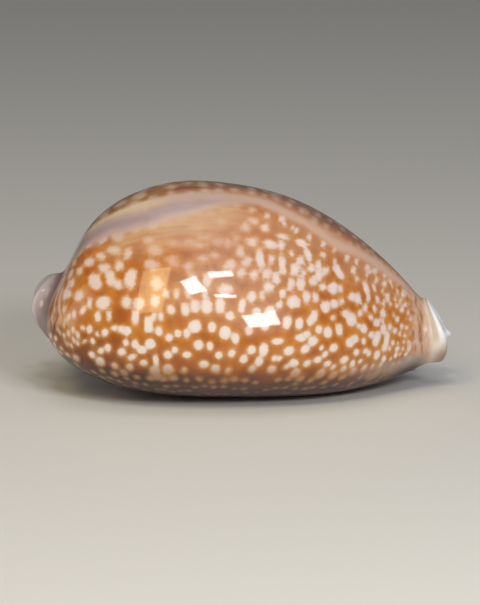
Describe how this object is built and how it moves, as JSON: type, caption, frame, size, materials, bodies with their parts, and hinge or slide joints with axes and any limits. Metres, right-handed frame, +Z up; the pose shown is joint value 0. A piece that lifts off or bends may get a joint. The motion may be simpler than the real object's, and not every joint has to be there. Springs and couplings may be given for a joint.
{
  "type": "atlantic deer cowrie shell",
  "caption": "Glossy egg-shaped cowrie shell with a long toothed slit underneath, a collar at each end and pale spots on golden brown.",
  "frame": {"origin": "on the resting plane, under the middle of the shell's bounding box", "axes": "+X to the narrow front end, +Y to the columellar lip, +Z up through the dorsum"},
  "size_m": [0.0999, 0.0607, 0.0494],
  "materials": {
    "shell_enamel": "glossy natural enamel, pale spots on golden brown"
  },
  "bodies": {
    "root": {"shell": "shell_enamel"}
  },
  "joints": []
}
